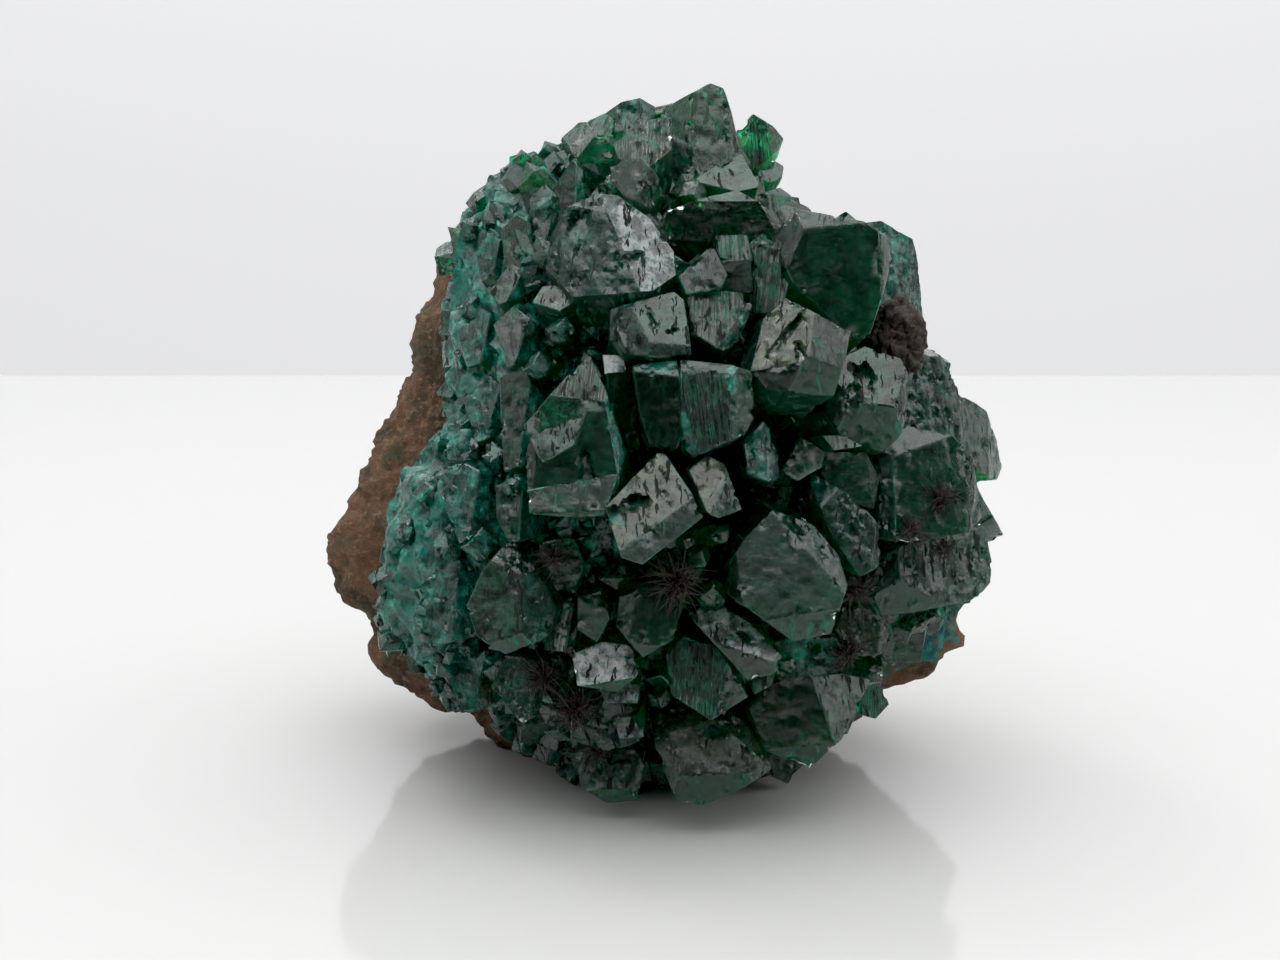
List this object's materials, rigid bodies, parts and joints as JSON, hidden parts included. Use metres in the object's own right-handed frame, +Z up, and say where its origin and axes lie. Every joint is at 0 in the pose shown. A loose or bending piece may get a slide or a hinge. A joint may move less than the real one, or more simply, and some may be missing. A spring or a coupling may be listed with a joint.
{
  "type": "dioptase mineral specimen",
  "caption": "Hand-sized mineral specimen: a rounded mass of blocky emerald-green dioptase crystals grown over a rough brown limonite matrix, with tufts of dark fibres.",
  "frame": {"origin": "centre of the bounding box on the surface that the specimen stands on", "axes": "+Z up; the crystal-covered front faces -Y and the matrix is toward +Y and -X"},
  "size_m": [0.0692, 0.0626, 0.0688],
  "materials": {
    "dioptase": "gloss",
    "limonite_matrix": "matte",
    "iron_lump": "matte",
    "dark_fibre": "matte"
  },
  "bodies": {
    "root": {"dioptase_cluster": "dioptase", "matrix_rock": "limonite_matrix", "iron_lump": "iron_lump", "fibre_tuft_centre": "dark_fibre", "fibre_tuft_right": "dark_fibre", "fibre_tuft_right_low": "dark_fibre", "fibre_tuft_ledge": "dark_fibre", "fibre_tuft_nook": "dark_fibre", "fibre_tuft_foot": "dark_fibre", "fibre_tuft_left": "dark_fibre", "fibre_tuft_mass": "dark_fibre", "fibre_tuft_bottom": "dark_fibre", "fibre_tuft_small": "dark_fibre"}
  },
  "joints": []
}
